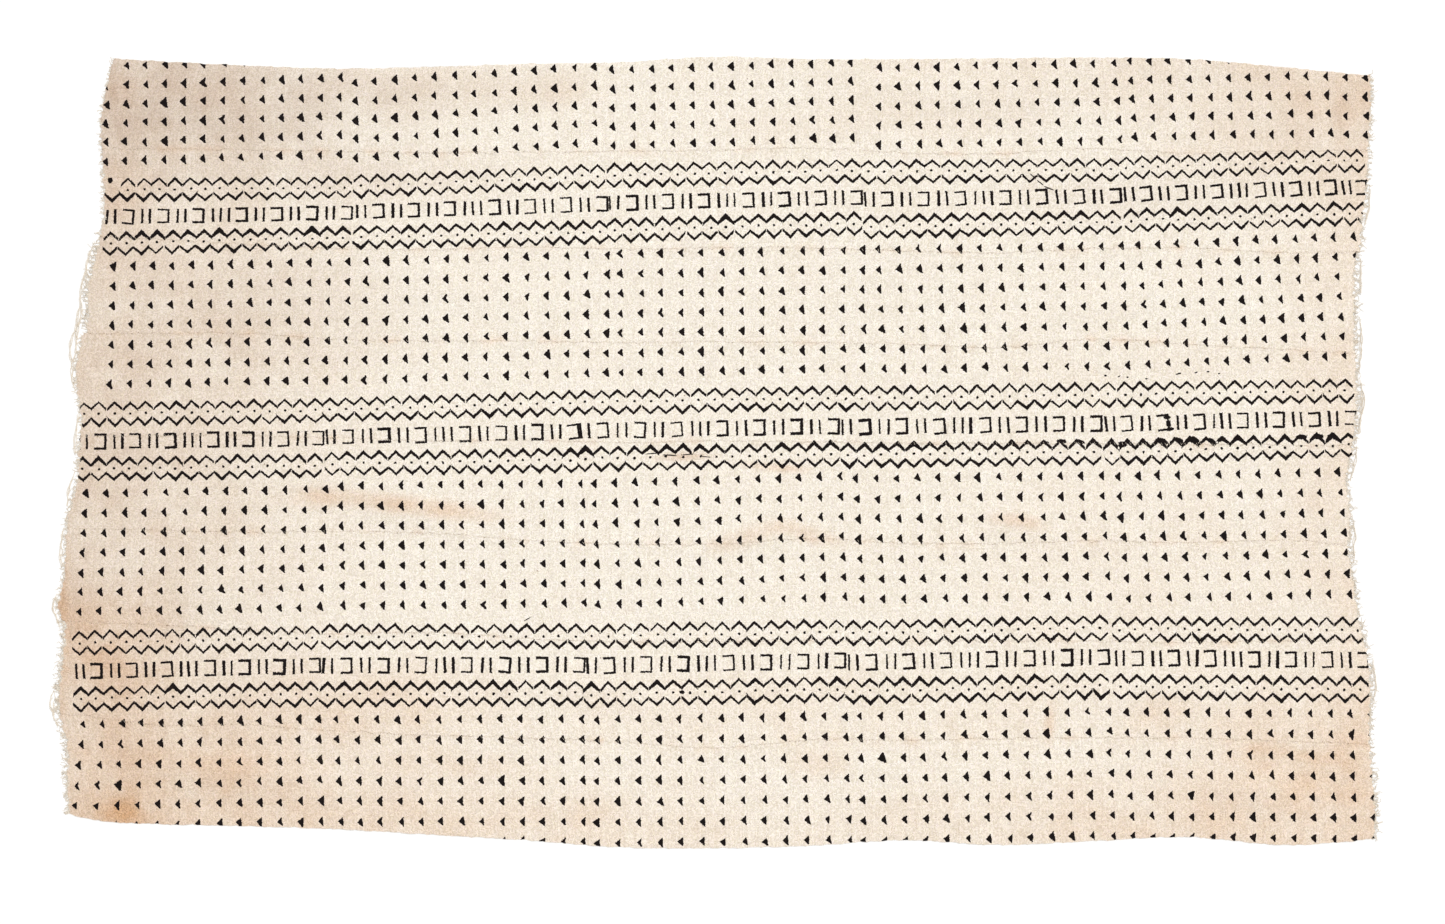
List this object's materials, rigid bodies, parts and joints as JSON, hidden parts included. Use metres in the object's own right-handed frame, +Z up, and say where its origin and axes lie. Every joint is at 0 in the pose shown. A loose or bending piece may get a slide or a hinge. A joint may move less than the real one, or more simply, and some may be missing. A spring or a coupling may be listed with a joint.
{
  "type": "mud cloth",
  "caption": "Mud cloth of narrow hand-woven cotton strips sewn edge to edge, stencilled with wedge marks and zigzag bands, frayed at both ends, lying flat face up.",
  "frame": {"origin": "centre of the cloth's outline, on the surface that it lies on", "axes": "+X along the strips, +Y across them towards the first strip, +Z up out of the printed face"},
  "size_m": [1.6834, 1.005, 0.0052],
  "materials": {
    "printed_cotton": "matt hand-spun plain weave, unbleached, with soft black stencilled marks",
    "loose_yarn": "matt loose hand-spun cotton yarn"
  },
  "bodies": {
    "root": {"strip_1": "printed_cotton", "strip_2": "printed_cotton", "strip_3": "printed_cotton", "strip_4": "printed_cotton", "strip_5": "printed_cotton", "strip_6": "printed_cotton", "strip_7": "printed_cotton", "strip_8": "printed_cotton", "fringe_left_1": "loose_yarn", "fringe_left_2": "loose_yarn", "fringe_left_3": "loose_yarn", "fringe_left_4": "loose_yarn", "fringe_left_5": "loose_yarn", "fringe_left_6": "loose_yarn", "fringe_left_7": "loose_yarn", "fringe_left_8": "loose_yarn", "fringe_right_1": "loose_yarn", "fringe_right_2": "loose_yarn", "fringe_right_3": "loose_yarn", "fringe_right_4": "loose_yarn", "fringe_right_5": "loose_yarn", "fringe_right_6": "loose_yarn", "fringe_right_7": "loose_yarn", "fringe_right_8": "loose_yarn"}
  },
  "joints": []
}
